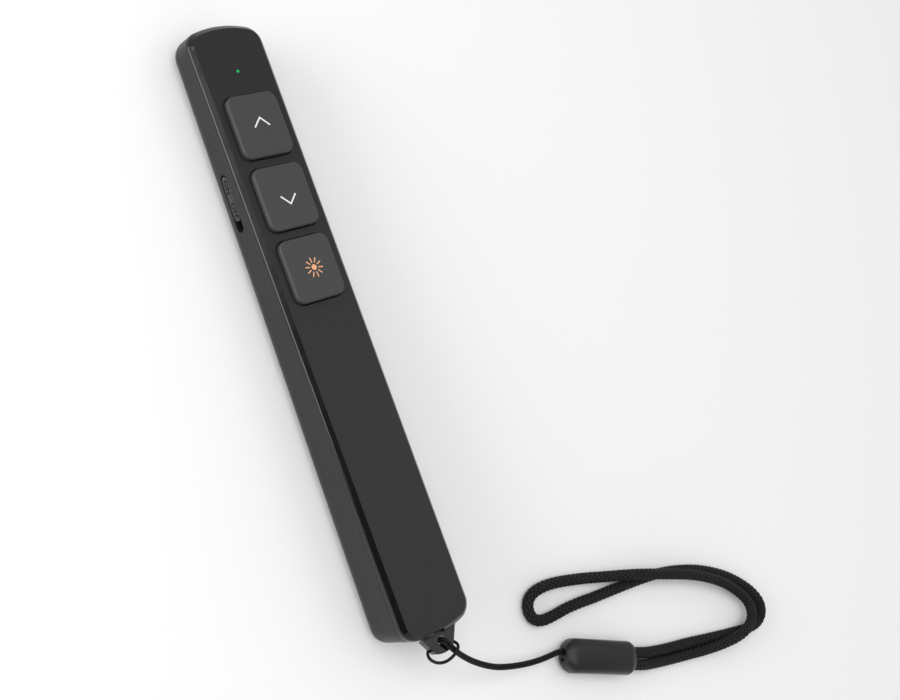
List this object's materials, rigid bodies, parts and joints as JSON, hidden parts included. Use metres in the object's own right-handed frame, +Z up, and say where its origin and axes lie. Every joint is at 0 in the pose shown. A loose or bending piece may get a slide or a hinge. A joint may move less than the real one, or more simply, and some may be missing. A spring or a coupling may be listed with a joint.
{
  "type": "wireless presentation clicker",
  "caption": "Slim wedge-shaped wireless presentation remote: page keys and a laser key on its face, side power slider, battery cover, stowed receiver and corded wrist loop.",
  "frame": {"origin": "on the resting surface, under the middle of the clicker (strap left out)", "axes": "+Z up out of the flat back, +Y towards the laser end, +X to the right of the face"},
  "size_m": [0.128, 0.1902, 0.0157],
  "materials": {
    "satin_black": "satin soft-touch plastic",
    "key_rubber": "matte moulded keys",
    "dark_plastic": "matte",
    "board": "solder mask",
    "steel": "plated",
    "lens": "clear",
    "green_pipe": "clear green light guide",
    "cell_wrap": "plain printed sleeve",
    "brass": "turned",
    "cord": "braided cord",
    "bead_plastic": "semi-matte"
  },
  "bodies": {
    "clicker_case": {"top_housing": "satin_black", "bottom_housing": "satin_black", "page_up_switch": "dark_plastic", "page_down_switch": "dark_plastic", "laser_switch": "dark_plastic", "main_board": "board", "rf_chip": "dark_plastic", "crystal": "steel", "status_led": "lens", "light_pipe": "green_pipe", "slide_switch": "steel", "aaa_cell": "cell_wrap", "negative_contact": "steel", "positive_contact": "steel", "housing_screw": "steel", "laser_barrel": "brass", "laser_diode": "steel", "laser_lens": "lens", "hitch_cord": "cord", "wrist_loop": "cord", "cord_bead": "bead_plastic"},
    "page_up_key": {"page_up_button": "key_rubber", "page_up_plunger": "dark_plastic"},
    "page_down_key": {"page_down_button": "key_rubber", "page_down_plunger": "dark_plastic"},
    "laser_key": {"laser_button": "key_rubber", "laser_plunger": "dark_plastic"},
    "power_knob": {"power_slider": "key_rubber", "switch_stem": "dark_plastic"},
    "battery_door": {"battery_cover": "satin_black"},
    "usb_receiver": {"receiver_cap": "satin_black", "receiver_plug_shell": "steel", "receiver_tongue": "dark_plastic"}
  },
  "joints": [
    {"name": "page_up_press", "type": "slide", "parent": "clicker_case", "child": "page_up_key", "axis": [0, -0.0393, -0.9992], "range_m": [0, 0.00045], "stiffness_N_per_m": 1500, "springref_m": -0.0003},
    {"name": "page_down_press", "type": "slide", "parent": "clicker_case", "child": "page_down_key", "axis": [0, -0.0393, -0.9992], "range_m": [0, 0.00045], "stiffness_N_per_m": 1500, "springref_m": -0.0003},
    {"name": "laser_press", "type": "slide", "parent": "clicker_case", "child": "laser_key", "axis": [0, -0.0393, -0.9992], "range_m": [0, 0.00045], "stiffness_N_per_m": 1500, "springref_m": -0.0003},
    {"name": "power_slide", "type": "slide", "parent": "clicker_case", "child": "power_knob", "axis": [0, -1, 0], "range_m": [0, 0.0022]},
    {"name": "battery_door_hinge", "type": "hinge", "parent": "clicker_case", "child": "battery_door", "pos_m": [0, 0.00965, 0], "axis": [1, 0, 0], "range_deg": [0, 35]},
    {"name": "receiver_pull", "type": "slide", "parent": "clicker_case", "child": "usb_receiver", "axis": [0, 0, -1], "range_m": [0, 0.01]}
  ]
}
